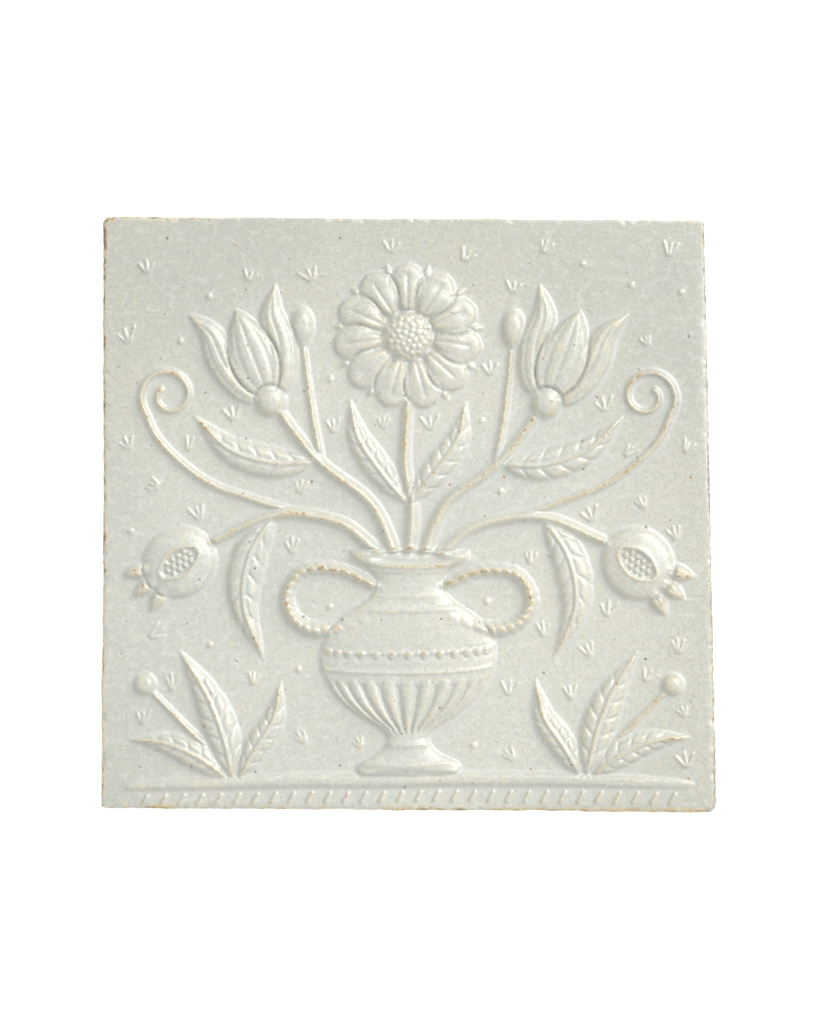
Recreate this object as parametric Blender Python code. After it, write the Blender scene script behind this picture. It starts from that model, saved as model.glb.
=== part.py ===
"""Handmade relief tile: one fired slab with a vase of flowers raised on its face.

Metres, +Z up. The slab lies on its back: the back is at z = 0, the picture's
top is towards +Y, and the origin is under the middle of the slab.
"""

import math

import bmesh
import bpy
from mathutils import Matrix, Vector

MM = 0.001

# Slab. Its corners, anticlockwise from the top left, are a little out of square, as cut by hand.
THICKNESS = 12.0 * MM
SLAB_CORNERS = (
    (-76.0 * MM, 74.7 * MM),
    (-77.2 * MM, -73.8 * MM),
    (77.2 * MM, -74.7 * MM),
    (74.4 * MM, 73.7 * MM),
)
CORNER_RADIUS = 1.6 * MM
CORNER_STEPS = 3
ARRIS_RADIUS = 1.1 * MM
ARRIS_STEPS = 3
FOOT_CHAMFER = 0.5 * MM

# Relief. Every raised form is an arched loft or a dome, sunk a little into the face.
SINK = 1.2 * MM
SECTION_SIDES = 10
THIN_SECTION_SIDES = 8
STEM_STEPS = 12
BLADE_STEPS = 10
BLADE_LEAN = 0.42
BLADE_POINT = 0.85
RISE_LEAN = 0.45
RISE_POINT = 0.4
LEAST_HALF_WIDTH = 0.35 * MM
LEAST_RISE = 0.3 * MM
LARGE_DOME = (18, 10)
SMALL_DOME = (12, 6)

# Vase: (height up its axis, half-width) from the foot to the lip.
VASE_RISE = 3.2 * MM
VASE_NARROW_RISE = 1.4 * MM
VASE_STEPS = 30
VASE_PROFILE = (
    (-65.2 * MM, 12.6 * MM),
    (-62.4 * MM, 12.8 * MM),
    (-59.6 * MM, 7.8 * MM),
    (-56.4 * MM, 5.2 * MM),
    (-53.6 * MM, 6.8 * MM),
    (-50.0 * MM, 12.8 * MM),
    (-45.5 * MM, 18.0 * MM),
    (-39.5 * MM, 21.4 * MM),
    (-34.0 * MM, 21.9 * MM),
    (-29.0 * MM, 20.0 * MM),
    (-25.0 * MM, 16.2 * MM),
    (-22.0 * MM, 11.6 * MM),
    (-19.0 * MM, 8.8 * MM),
    (-16.0 * MM, 8.6 * MM),
    (-13.0 * MM, 10.8 * MM),
    (-10.8 * MM, 14.2 * MM),
    (-8.8 * MM, 15.0 * MM),
)
VASE_SECTION_SIDES = 16
HANDLE_SPINE = (
    (9.5 * MM, -25.6 * MM),
    (20.0 * MM, -28.8 * MM),
    (27.6 * MM, -26.8 * MM),
    (30.4 * MM, -20.8 * MM),
    (26.6 * MM, -14.6 * MM),
    (17.6 * MM, -14.0 * MM),
    (8.3 * MM, -17.8 * MM),
)
HANDLE_HALF_WIDTHS = (2.4 * MM, 1.6 * MM)
HANDLE_RISE = 2.2 * MM

# Stems. Those with a side are drawn for the right and mirrored to the left.
CENTRE_STEM = ((0.0, -10.0 * MM), (0.9 * MM, 2.0 * MM), (-0.7 * MM, 14.0 * MM), (0.0, 30.0 * MM))
UPPER_STEM = (
    (3.5 * MM, -10.0 * MM),
    (9.5 * MM, 3.0 * MM),
    (23.0 * MM, 13.5 * MM),
    (35.0 * MM, 29.0 * MM),
)
LOWER_STEM = (
    (7.5 * MM, -10.0 * MM),
    (17.0 * MM, -2.5 * MM),
    (33.0 * MM, -0.5 * MM),
    (50.0 * MM, -7.5 * MM),
)
STEM_HALF_WIDTHS = (1.9 * MM, 1.4 * MM)
STEM_RISE = 1.7 * MM
BUD_STEM = ((22.0 * MM, 12.5 * MM), (24.0 * MM, 25.0 * MM), (26.0 * MM, 43.0 * MM))
TENDRIL_START = (
    (24.0 * MM, -1.2 * MM),
    (38.0 * MM, 3.0 * MM),
    (51.0 * MM, 8.0 * MM),
    (62.0 * MM, 17.5 * MM),
)
THIN_STEM_STEPS = 5
TENDRIL_HALF_WIDTHS = (1.2 * MM, 0.8 * MM)
TENDRIL_RISE = 1.3 * MM
CURL_CENTRE = (60.0 * MM, 29.5 * MM)
CURL_RADII = (7.4 * MM, 2.4 * MM)
CURL_ANGLES = (math.radians(-38.0), math.radians(400.0))
CURL_KNOTS = 18
TENDRIL_STEPS = 36

# Flower at the top: a ring of petals round a domed eye.
ROSE_CENTRE = (0.0, 44.5 * MM)
ROSE_PETALS = 11
ROSE_PETAL_INNER = 5.0 * MM
ROSE_PETAL_OUTER = 18.5 * MM
ROSE_PETAL_HALF_WIDTH = 4.8 * MM
ROSE_PETAL_RISE = 2.3 * MM
ROSE_PETAL_LEAN = 0.62
ROSE_PETAL_POINT = 0.5
ROSE_EYE_RADIUS = 6.6 * MM
ROSE_EYE_RISE = 3.2 * MM

# Tulip at the end of each upper stem: two outer petals and one in front.
# A side petal's spine is (distance off the axis, share of the length).
TULIP_BASE = (34.5 * MM, 28.0 * MM)
TULIP_LEAN = math.radians(20.0)
TULIP_LENGTH = 27.0 * MM
TULIP_FRONT_SHARES = (0.04, 0.5, 0.92)
TULIP_FRONT_HALF_WIDTH = 6.2 * MM
TULIP_FRONT_RISE = 2.9 * MM
TULIP_SIDE_SPINE = (
    (0.5 * MM, 0.02),
    (5.0 * MM, 0.20),
    (7.6 * MM, 0.50),
    (8.2 * MM, 0.78),
    (11.5 * MM, 1.02),
)
TULIP_SIDE_HALF_WIDTH = 4.4 * MM
TULIP_PETAL_POINT = 0.7
TULIP_SIDE_RISE = 2.2 * MM
TULIP_CUP_RADIUS = 4.2 * MM

# Fruit at the end of each lower stem, with a crown of three points.
FRUIT_CENTRE = (57.5 * MM, -12.5 * MM)
FRUIT_RADII = (9.6 * MM, 9.0 * MM)
FRUIT_RISE = 3.2 * MM
FRUIT_LEAN = math.radians(-36.0)
CROWN_FOOT = 6.0 * MM
CROWN_REACH = 14.8 * MM
CROWN_SPREAD = math.radians(24.0)
CROWN_HALF_WIDTH = 2.3 * MM
CROWN_RISE = 2.0 * MM
CROWN_LEAN = 0.45
CROWN_STEPS = 6

# Leaves: spine, half-width and rise. Each has its mirror image on the left.
LEAVES = {
    "inner": (
        ((0.3 * MM, 3.0 * MM), (7.0 * MM, 11.0 * MM), (12.5 * MM, 19.0 * MM), (14.5 * MM, 28.0 * MM)),
        3.6 * MM,
        1.8 * MM,
    ),
    "outer": (
        ((23.0 * MM, 13.0 * MM), (34.0 * MM, 12.5 * MM), (45.0 * MM, 16.0 * MM), (53.5 * MM, 24.0 * MM)),
        4.3 * MM,
        2.1 * MM,
    ),
    "hanging": (
        (
            (34.0 * MM, -1.0 * MM),
            (40.0 * MM, -11.0 * MM),
            (41.5 * MM, -23.0 * MM),
            (36.5 * MM, -36.0 * MM),
        ),
        4.6 * MM,
        2.1 * MM,
    ),
    "ground_inner": (
        (
            (43.0 * MM, -65.5 * MM),
            (38.5 * MM, -58.0 * MM),
            (34.0 * MM, -51.0 * MM),
            (32.0 * MM, -42.0 * MM),
        ),
        3.5 * MM,
        1.9 * MM,
    ),
    "ground_middle": (
        (
            (44.5 * MM, -65.5 * MM),
            (47.0 * MM, -55.0 * MM),
            (51.0 * MM, -45.0 * MM),
            (57.5 * MM, -34.5 * MM),
        ),
        4.4 * MM,
        2.1 * MM,
    ),
    "ground_outer": (
        (
            (46.0 * MM, -65.5 * MM),
            (53.0 * MM, -60.5 * MM),
            (61.0 * MM, -57.0 * MM),
            (70.0 * MM, -56.0 * MM),
        ),
        3.5 * MM,
        1.9 * MM,
    ),
}

# A berry and a bud on thin stems.
BERRY_STEM = ((46.0 * MM, -63.0 * MM), (55.0 * MM, -54.0 * MM), (65.5 * MM, -43.5 * MM))
BERRY_CENTRE = (66.5 * MM, -42.5 * MM)
BERRY_RADII = (3.0 * MM, 3.0 * MM)
BERRY_RISE = 2.0 * MM
BUD_CENTRE = (26.3 * MM, 47.0 * MM)
BUD_RADII = (3.2 * MM, 5.4 * MM)
BUD_RISE = 2.1 * MM

# The ridge of ground that the vase stands on.
GROUND_SPINE = (
    (-71.0 * MM, -67.8 * MM),
    (-30.0 * MM, -66.4 * MM),
    (30.0 * MM, -66.4 * MM),
    (71.0 * MM, -67.8 * MM),
)
GROUND_HALF_WIDTH = 1.9 * MM
GROUND_RISE = 1.3 * MM
GROUND_LEAN = 0.5
GROUND_POINT = 0.25
GROUND_STEPS = 16

GLAZE_COLOUR = (0.60, 0.60, 0.525, 1.0)
GLAZE_ROUGHNESS = 0.38


def clear_scene():
    for obj in list(bpy.data.objects):
        bpy.data.objects.remove(obj)


def glaze_material():
    material = bpy.data.materials.new("pale_glaze")
    material.use_nodes = True
    shader = material.node_tree.nodes["Principled BSDF"]
    shader.inputs["Base Color"].default_value = GLAZE_COLOUR
    shader.inputs["Roughness"].default_value = GLAZE_ROUGHNESS
    return material


def object_from(mesh_in_progress, name, collection):
    bmesh.ops.recalc_face_normals(mesh_in_progress, faces=mesh_in_progress.faces)
    mesh = bpy.data.meshes.new(name)
    mesh_in_progress.to_mesh(mesh)
    mesh_in_progress.free()
    obj = bpy.data.objects.new(name, mesh)
    collection.objects.link(obj)
    return obj


def mirrored(points):
    return [(-x, y) for x, y in points]


def even_shares(steps):
    return [step / steps for step in range(steps + 1)]


def closing_shares(steps):
    """Shares of a length that lie closer together towards both ends."""
    return [(1 - math.cos(math.pi * step / steps)) / 2 for step in range(steps + 1)]


def along_spine(points, shares):
    """(centre, sideways direction) at each share of a smooth curve through the given points."""
    knots = [Vector(p) for p in points]
    knots = [2 * knots[0] - knots[1], *knots, 2 * knots[-1] - knots[-2]]
    spans = len(points) - 1
    samples = []
    for share in shares:
        span = min(int(share * spans), spans - 1)
        t = share * spans - span
        a, b, c, d = knots[span : span + 4]
        slope = c - a
        bend = 2 * a - 5 * b + 4 * c - d
        twist = 3 * b - a - 3 * c + d
        centre = b + (slope * t + bend * t**2 + twist * t**3) / 2
        tangent = (slope + 2 * bend * t + 3 * twist * t**2).normalized()
        samples.append((centre, Vector((-tangent.y, tangent.x))))
    return samples


def swell(share, lean, point):
    """From 0 at both ends of a spine to 1 at the share lean. A higher point makes sharper ends."""
    power = math.log(0.5) / math.log(lean)
    return max(0.0, math.sin(math.pi * share**power)) ** point


def loft(collection, name, stations, sides):
    """An arched form on the face through (centre, sideways, half-width, rise) stations.

    Each section is half an ellipse above the face and a shallow keel in it.
    """
    made = bmesh.new()
    rings = []
    for centre, sideways, half_width, rise in stations:
        ring = []
        for side in range(sides):
            angle = 2 * math.pi * side / sides
            across = centre + sideways * max(half_width, LEAST_HALF_WIDTH) * math.cos(angle)
            reach = max(rise, LEAST_RISE) if math.sin(angle) > 0 else SINK
            ring.append(made.verts.new((across.x, across.y, THICKNESS + reach * math.sin(angle))))
        rings.append(ring)
    for ring, following in zip(rings, rings[1:]):
        for side in range(sides):
            after = (side + 1) % sides
            made.faces.new((ring[side], ring[after], following[after], following[side]))
    made.faces.new(rings[0])
    made.faces.new(rings[-1])
    return object_from(made, name, collection)


def tube(collection, name, spine, half_widths, rise, steps=STEM_STEPS, sides=SECTION_SIDES):
    """A stem whose half-width runs evenly from the first to the last."""
    first, last = half_widths
    shares = even_shares(steps)
    stations = [
        (centre, sideways, first + (last - first) * share, rise)
        for share, (centre, sideways) in zip(shares, along_spine(spine, shares))
    ]
    loft(collection, name, stations, sides)


def blade(
    collection, name, spine, half_width, rise, lean=BLADE_LEAN, point=BLADE_POINT, steps=BLADE_STEPS
):
    """A leaf or petal, closed at both ends."""
    shares = closing_shares(steps)
    stations = []
    for share, (centre, sideways) in zip(shares, along_spine(spine, shares)):
        width_here = half_width * swell(share, lean, point)
        rise_here = rise * swell(share, RISE_LEAN, RISE_POINT)
        stations.append((centre, sideways, width_here, rise_here))
    loft(collection, name, stations, SECTION_SIDES)


def dome(collection, name, centre, radii, rise, facets=SMALL_DOME, turn=0.0):
    made = bmesh.new()
    segments, rings = facets
    bmesh.ops.create_uvsphere(made, u_segments=segments, v_segments=rings, radius=1.0)
    for vertex in made.verts:
        vertex.co.x *= radii[0]
        vertex.co.y *= radii[1]
        vertex.co.z *= rise if vertex.co.z > 0 else SINK
    obj = object_from(made, name, collection)
    obj.location = (centre[0], centre[1], THICKNESS)
    obj.rotation_euler.z = turn


def rounded_outline(corners, radius, steps):
    """The points of a polygon whose corners, given anticlockwise, are rounded by arcs."""
    points = []
    for index, corner in enumerate(corners):
        to_last = (corners[index - 1] - corner).normalized()
        to_next = (corners[(index + 1) % len(corners)] - corner).normalized()
        half_angle = to_last.angle(to_next) / 2
        centre = corner + (to_last + to_next).normalized() * radius / math.sin(half_angle)
        arm = corner + to_last * radius / math.tan(half_angle) - centre
        for step in range(steps + 1):
            turn = Matrix.Rotation((math.pi - 2 * half_angle) * step / steps, 2)
            points.append(centre + turn @ arm)
    return points


def round_edges(made, edges, offset, segments):
    bmesh.ops.bevel(made, geom=edges, offset=offset, segments=segments, profile=0.5, affect="EDGES")


def slab(collection):
    """The body: rounded corners, a rounded upper arris and a small chamfer at the back."""
    corners = [Vector(corner) for corner in SLAB_CORNERS]
    made = bmesh.new()
    outline = rounded_outline(corners, CORNER_RADIUS, CORNER_STEPS)
    back = made.faces.new([made.verts.new((x, y, 0.0)) for x, y in outline])
    raised = bmesh.ops.extrude_face_region(made, geom=[back])["geom"]
    face_corners = [item for item in raised if isinstance(item, bmesh.types.BMVert)]
    bmesh.ops.translate(made, verts=face_corners, vec=(0.0, 0.0, THICKNESS))
    arris = [edge for edge in made.edges if all(v.co.z > THICKNESS / 2 for v in edge.verts)]
    round_edges(made, arris, ARRIS_RADIUS, ARRIS_STEPS)
    foot = [edge for edge in made.edges if all(v.co.z < FOOT_CHAMFER / 2 for v in edge.verts)]
    round_edges(made, foot, FOOT_CHAMFER, 1)
    return object_from(made, "tile", collection)


def curl_spine():
    """The tendril's start and then a closing spiral."""
    spiral = []
    for share in even_shares(CURL_KNOTS):
        radius = CURL_RADII[0] + (CURL_RADII[1] - CURL_RADII[0]) * share
        angle = CURL_ANGLES[0] + (CURL_ANGLES[1] - CURL_ANGLES[0]) * share
        x = CURL_CENTRE[0] + radius * math.cos(angle)
        y = CURL_CENTRE[1] + radius * math.sin(angle)
        spiral.append((x, y))
    return [*TENDRIL_START, *spiral]


def vase(relief):
    """A turned form seen from the side, standing further off the face where it is wider."""
    widest = max(half_width for _, half_width in VASE_PROFILE)
    stations = []
    for (y, half_width), _ in along_spine(VASE_PROFILE, even_shares(VASE_STEPS)):
        rise = VASE_NARROW_RISE + (VASE_RISE - VASE_NARROW_RISE) * half_width / widest
        stations.append((Vector((0.0, y)), Vector((-1.0, 0.0)), half_width, rise))
    loft(relief, "vase", stations, VASE_SECTION_SIDES)


def rose(relief):
    centre = Vector(ROSE_CENTRE)
    for index in range(ROSE_PETALS):
        out = Matrix.Rotation(2 * math.pi * index / ROSE_PETALS, 2) @ Vector((0.0, 1.0))
        spine = (centre + out * ROSE_PETAL_INNER, centre + out * ROSE_PETAL_OUTER)
        blade(
            relief,
            f"rose_petal_{index}",
            spine,
            ROSE_PETAL_HALF_WIDTH,
            ROSE_PETAL_RISE,
            lean=ROSE_PETAL_LEAN,
            point=ROSE_PETAL_POINT,
        )
    dome(relief, "rose_eye", ROSE_CENTRE, (ROSE_EYE_RADIUS, ROSE_EYE_RADIUS), ROSE_EYE_RISE, LARGE_DOME)


def tulip_point(across, share):
    """A point of the right-hand tulip, off its axis in metres and along it as a share of its length."""
    axis = Vector((math.sin(TULIP_LEAN), math.cos(TULIP_LEAN)))
    return Vector(TULIP_BASE) + axis * share * TULIP_LENGTH + Vector((axis.y, -axis.x)) * across


def tulip(relief, side, place):
    near = [tulip_point(-across, share) for across, share in TULIP_SIDE_SPINE]
    front = [tulip_point(0.0, share) for share in TULIP_FRONT_SHARES]
    far = [tulip_point(across, share) for across, share in TULIP_SIDE_SPINE]
    for name, spine, half_width, rise in (
        ("near", near, TULIP_SIDE_HALF_WIDTH, TULIP_SIDE_RISE),
        ("front", front, TULIP_FRONT_HALF_WIDTH, TULIP_FRONT_RISE),
        ("far", far, TULIP_SIDE_HALF_WIDTH, TULIP_SIDE_RISE),
    ):
        petal_name = f"tulip_{name}_petal_{side}"
        blade(relief, petal_name, place(spine), half_width, rise, point=TULIP_PETAL_POINT)
    cup = place([TULIP_BASE])[0]
    dome(relief, f"tulip_cup_{side}", cup, (TULIP_CUP_RADIUS, TULIP_CUP_RADIUS), TULIP_FRONT_RISE)


def fruit(relief, side, place):
    centre = Vector(FRUIT_CENTRE)
    for index in (-1, 0, 1):
        out = Matrix.Rotation(FRUIT_LEAN + index * CROWN_SPREAD, 2) @ Vector((1.0, 0.0))
        spine = place([centre + out * CROWN_FOOT, centre + out * CROWN_REACH])
        name = f"crown_{index + 2}_{side}"
        blade(relief, name, spine, CROWN_HALF_WIDTH, CROWN_RISE, lean=CROWN_LEAN, steps=CROWN_STEPS)
    turn = FRUIT_LEAN if side == "right" else -FRUIT_LEAN
    dome(relief, f"fruit_{side}", place([FRUIT_CENTRE])[0], FRUIT_RADII, FRUIT_RISE, LARGE_DOME, turn)


def side_growth(relief, side, place):
    """Everything that is drawn for the right side. place turns its points into this side's."""
    tube(relief, f"handle_{side}", place(HANDLE_SPINE), HANDLE_HALF_WIDTHS, HANDLE_RISE)
    tube(relief, f"upper_stem_{side}", place(UPPER_STEM), STEM_HALF_WIDTHS, STEM_RISE)
    tube(relief, f"lower_stem_{side}", place(LOWER_STEM), STEM_HALF_WIDTHS, STEM_RISE)
    for name, spine, steps in (
        ("bud_stem", BUD_STEM, THIN_STEM_STEPS),
        ("berry_stem", BERRY_STEM, THIN_STEM_STEPS),
        ("tendril", curl_spine(), TENDRIL_STEPS),
    ):
        thin_name = f"{name}_{side}"
        tube(relief, thin_name, place(spine), TENDRIL_HALF_WIDTHS, TENDRIL_RISE, steps, THIN_SECTION_SIDES)
    for name, (spine, half_width, rise) in LEAVES.items():
        blade(relief, f"leaf_{name}_{side}", place(spine), half_width, rise)
    dome(relief, f"berry_{side}", place([BERRY_CENTRE])[0], BERRY_RADII, BERRY_RISE)
    dome(relief, f"bud_{side}", place([BUD_CENTRE])[0], BUD_RADII, BUD_RISE)
    tulip(relief, side, place)
    fruit(relief, side, place)


def relief_forms():
    """All raised forms, as guides that the slab takes up."""
    relief = bpy.data.collections.new("relief")
    bpy.context.scene.collection.children.link(relief)
    blade(
        relief,
        "ground",
        GROUND_SPINE,
        GROUND_HALF_WIDTH,
        GROUND_RISE,
        lean=GROUND_LEAN,
        point=GROUND_POINT,
        steps=GROUND_STEPS,
    )
    tube(relief, "centre_stem", CENTRE_STEM, STEM_HALF_WIDTHS, STEM_RISE)
    vase(relief)
    rose(relief)
    side_growth(relief, "right", list)
    side_growth(relief, "left", mirrored)
    for obj in relief.objects:
        obj.hide_render = True
        obj.display_type = "WIRE"
    return relief


def build():
    clear_scene()
    tile = slab(bpy.context.scene.collection)
    tile.data.materials.append(glaze_material())
    union = tile.modifiers.new("raise_relief", "BOOLEAN")
    union.operation = "UNION"
    union.operand_type = "COLLECTION"
    union.collection = relief_forms()
    union.solver = "EXACT"
    union.use_self = True


build()
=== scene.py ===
"""Handmade relief tile: the fired slab with its fine relief, its glaze, a floor, light and the camera.

The relief is worked out in millimetres on a fine lattice over the face. The lattice is joined into small
cells on the relief and large ones on the field, closed with sides and a flat back, and then thinned.
"""

import math

import bpy
import numpy as np
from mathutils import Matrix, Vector


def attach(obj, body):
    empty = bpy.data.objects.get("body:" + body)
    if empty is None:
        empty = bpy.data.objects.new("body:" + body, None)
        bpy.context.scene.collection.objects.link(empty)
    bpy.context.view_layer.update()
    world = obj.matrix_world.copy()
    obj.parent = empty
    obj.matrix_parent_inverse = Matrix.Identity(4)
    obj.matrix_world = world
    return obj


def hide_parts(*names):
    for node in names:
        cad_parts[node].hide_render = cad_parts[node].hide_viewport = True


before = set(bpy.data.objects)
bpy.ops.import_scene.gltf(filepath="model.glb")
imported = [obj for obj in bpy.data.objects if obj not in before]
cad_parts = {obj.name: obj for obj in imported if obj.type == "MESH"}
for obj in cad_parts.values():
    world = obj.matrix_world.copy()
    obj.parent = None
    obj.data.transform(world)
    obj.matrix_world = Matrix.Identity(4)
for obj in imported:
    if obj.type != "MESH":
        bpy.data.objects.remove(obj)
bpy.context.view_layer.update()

MM = 0.001

# Slab, in mm. Corners run anticlockwise from the top left.
THICKNESS = 12.0
SLAB_CORNERS = ((-76.7, 75.0), (-77.25, -73.7), (77.45, -74.7), (74.4, 73.95))
FACE_WIDTH = 152.4
FACE_HEIGHT = 148.4
CORNER_RADII = {"top_left": 2.2, "bottom_left": 1.2, "bottom_right": 2.4, "top_right": 1.0}

# Upper edge, in mm. A waver is layers of noise, each with its height, its size and its seed.
ARRIS = 0.75
RIGHT_ARRIS = 0.85
RIGHT_ARRIS_REACH = 9.0
ARRIS_WAVER = ((0.30, 9.0, 21), (0.22, 3.0, 22))
RIGHT_SLUMP = 0.22
RIGHT_SLUMP_REACH = 1.5
CHIPS = 110
CHIP_SEED = 53
CHIP_ZONE = 0.5
CHIP_RADII = (0.35, 0.95)
CHIP_DEPTHS = (0.12, 0.45)

# Outline and sides, in mm. A share is of the height above the back.
CUT_INSET = 0.17
CUT_FADE = 3.0
CUT_WAVER = ((0.11, 11.0, 0), (0.07, 2.4, 10), (0.09, 0.9, 20))
LEFT_BOW = 0.48
BOW_LENGTH = 36.0
LOOP_POINTS = 2048
NOTCH_SIZE = 1.0
NOTCH_END = 0.85
SIDE_INSET = 0.12
SIDE_WAVER = ((0.10, 7.0, 61), (0.05, 2.0, 62))
SIDE_SHARES = (0.95, NOTCH_END, 0.68, 0.50, 0.33, 0.18, 0.06)
FOOT_RINGS = ((0.25, 0.08), (0.08, 0.22), (0.0, 0.45))

# Wear of the glaze on the upper edge. Each side has its wear at its left or lower end, and how much more
# it is at the other end. Widths and reaches are in mm.
# These also set the painted shade along the edge. The left side's rise towards the top is partly wear and
# partly painted shade of that edge, which faces away from the key light.
SIDE_WEAR_AND_SHADE = {"left": (0.56, 0.72), "right": (1.20, -0.45), "bottom": (0.55, 0.35), "top": (0.48, -0.25)}
SIDE_WEAR_REACH = 1.5
WEAR_WAVER = ((0.40, 7.0, 71),)
WEAR_WIDTH = 0.55
WEAR_FRINGE = (1.3, 0.40)
WORN_CORNER = (-75.5, 71.5)
WORN_CORNER_REACH = 4.0
WORN_CORNER_STRETCH = 1.8
WORN_CORNER_WIDENING = 1.1
WORN_CORNER_FADING = 0.35
CREST_GAIN = 1.9
CREST_SIZE = 0.8

# Lattice over the face. A cell is a power of two of the smallest.
CELLS = 512
COARSEST = 8
FLATNESS = 0.018
MOST_TRIANGLES = 192000
SHARP_ANGLE = math.radians(50)

# Relief, in mm.
FILLET = 0.90
FINE_FILLET = 0.25
BEVEL_BLEND = 0.55
SOFTENING = 0.18
EDGE_SLOPE = 1.40
FINE_SLOPE = 2.2
EDGE_FALL = 2.0
DRIFT = 0.45
DRIFT_SIZE = 17.0
OUTLINE_WIDTH = 0.35
FACE_WAVER = ((0.13, 24.0, 13), (0.06, 8.0, 14), (0.02, 2.2, 15))
NOISE_REACH = 110.0
NOISE_SWING = 1.7
FORM_MARGIN = 2.0
TUBE_POWER = 1.6
TWIST_SLANT = 0.35
TWIST_DEPTH = 0.45
BLADE_POWER = 2.4
BLADE_TIP = 0.3
BEAD_POWER = 0.6
BEAD_RING_PLACE = 1.2
BEAD_RING_WIDTH = 0.25
CURVE_STEPS = 48
CURL_STEPS = 120
VASE_STEPS = 90

# Carving of leaves and petals: widths and heights in mm, or across a petal in half-widths.
MIDRIB = (0.38, 0.42)
MIDRIB_GROOVE = (0.30, 0.30)
MIDRIB_GROOVE_PLACE = 0.80
VEINS = 7
VEIN_SLANT = 0.75
VEIN = (0.10, 0.50)
PETAL_GROOVES = (-0.55, 0.0, 0.55)
PETAL_GROOVE = (0.09, 0.34)
ROSE_GROOVE = (0.38, 0.42)
ROSE_GROOVE_END = 0.86
ROSE_CUP = (0.13, 0.30)
ROSE_CUP_PLACE = 0.74
CROWN_GROOVE = (0.35, 0.30)

# The drawing, in mm from the middle of the face. A size is a half-width or radius and a rise, and a bead's
# size also has its ring's depth. What lies to one side is drawn for the right and mirrored.
VASE_RISE = 2.85
VASE_NARROW_RISE = 1.4
VASE_SAG = 0.10
VASE_REACH = 26.0
VASE_PROFILE = (
    (-65.2, 12.6),
    (-62.4, 12.8),
    (-59.6, 7.8),
    (-56.4, 5.2),
    (-53.6, 6.8),
    (-50.0, 12.8),
    (-45.5, 18.0),
    (-39.5, 21.4),
    (-34.0, 21.9),
    (-29.0, 20.0),
    (-25.0, 16.2),
    (-22.0, 11.6),
    (-19.0, 8.8),
    (-16.0, 8.6),
    (-13.0, 10.8),
    (-10.8, 14.2),
    (-8.8, 15.0),
)

# Mouldings round the vase: level, width and rise. A flute's groove has its width and depth.
VASE_BANDS = (
    (-63.6, 0.55, 0.45),
    (-61.3, 0.40, 0.30),
    (-56.9, 0.75, 0.60),
    (-37.6, 0.45, 0.50),
    (-32.6, 0.45, 0.45),
    (-22.6, 0.55, 0.50),
    (-19.6, 0.40, 0.30),
    (-13.4, 0.45, 0.35),
)
FLUTES = 13
FLUTE_FOOT = -54.5
FLUTE_TOP = -41.4
FLUTE_ARCH = 2.16
FLUTE_FADES = (1.5, 0.9)
FLUTE_GROOVE = (0.13, 0.62)
FLUTE_SWELL = 0.30
VASE_BEADS = 13
VASE_BEAD_SWEEP = 1.12
VASE_BEAD_LEVEL = -33.2
VASE_BEAD_SIZE = (1.05, 0.48)
MOUTH_ZONE = ((-17.0, -16.0), (17.0, -5.0))
MOUTH_RADII = (14.6, 2.7)
MOUTH_Y = -10.9
MOUTH_RIM_PLACE = 0.86
MOUTH_RIM = (0.55, 0.75)
MOUTH_HOLLOW_PLACE = 0.72
MOUTH_HOLLOW_DEPTH = 0.95

# Handles, stems and tendrils.
HANDLE_SPINE = (
    (9.5, -25.6),
    (20.0, -28.8),
    (27.6, -26.8),
    (30.4, -20.8),
    (26.6, -14.6),
    (17.6, -14.0),
    (8.3, -17.8),
)
CENTRE_STEM = ((0.0, -10.0), (0.9, 2.0), (-0.7, 14.0), (0.0, 30.0))
UPPER_STEM = ((3.5, -10.0), (9.5, 3.0), (23.0, 13.5), (35.0, 29.0))
LOWER_STEM = ((7.5, -10.0), (17.0, -2.5), (33.0, -0.5), (50.0, -7.5))
BUD_STEM = ((22.0, 12.5), (24.0, 25.0), (26.0, 43.0))
BERRY_STEM = ((46.0, -63.0), (55.0, -54.0), (65.5, -43.5))
TENDRIL_START = ((24.0, -1.2), (38.0, 3.0), (51.0, 8.0), (62.0, 17.5))
CURL_CENTRE = (60.0, 29.5)
CURL_RADII = (7.4, 2.4)
CURL_ANGLES = (math.radians(-38.0), math.radians(400.0))
CURL_KNOTS = 18
HANDLE_HALF_WIDTHS = (2.4, 1.6)
HANDLE_RISE = 2.2
HANDLE_TWIST = 2.6
STEM_HALF_WIDTHS = (1.9, 1.4)
STEM_RISE = 1.8
THIN_STEM_HALF_WIDTHS = (1.2, 0.8)
THIN_STEM_RISE = 1.3
TENDRIL_RISE = 1.35

# Flowers, fruits and leaves.
ROSE_CENTRE = (0.0, 44.5)
ROSE_PETALS = 11
ROSE_PETAL_REACH = (5.0, 18.5)
ROSE_PETAL_SIZE = (4.8, 2.3)
ROSE_POINT_REACH = (9.0, 18.6)
ROSE_POINT_SIZE = (2.0, 1.3)
EYE_SIZE = (6.6, 2.9)
EYE_SEEDS = 38
EYE_SEED_REACH = 5.7
EYE_SEED_SIZE = (0.72, 0.36, 0.12)
GOLDEN_ANGLE = math.pi * (3 - math.sqrt(5))
TULIP_BASE = (34.5, 28.0)
TULIP_LEAN = math.radians(20.0)
TULIP_LENGTH = 27.0
TULIP_SIDE_SPINE = ((0.5, 0.02), (5.0, 0.20), (7.6, 0.50), (8.2, 0.78), (11.5, 1.02))
TULIP_SIDE_SIZE = (4.4, 2.2)
TULIP_FRONT_SHARES = (0.04, 0.5, 0.92)
TULIP_FRONT_SIZE = (6.2, 2.8)
TULIP_CUP_SIZE = (4.2, 2.7)
FRUIT_CENTRE = (57.5, -12.5)
FRUIT_RADII = (9.6, 9.0)
FRUIT_LEAN = math.radians(-36.0)
FRUIT_RISE = 2.7
CROWN_SPREAD = math.radians(24.0)
CROWN_REACH = (6.0, 14.8)
CROWN_SIZE = (2.3, 2.0)
SPLIT_HALF_LENGTH = 6.2
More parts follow.
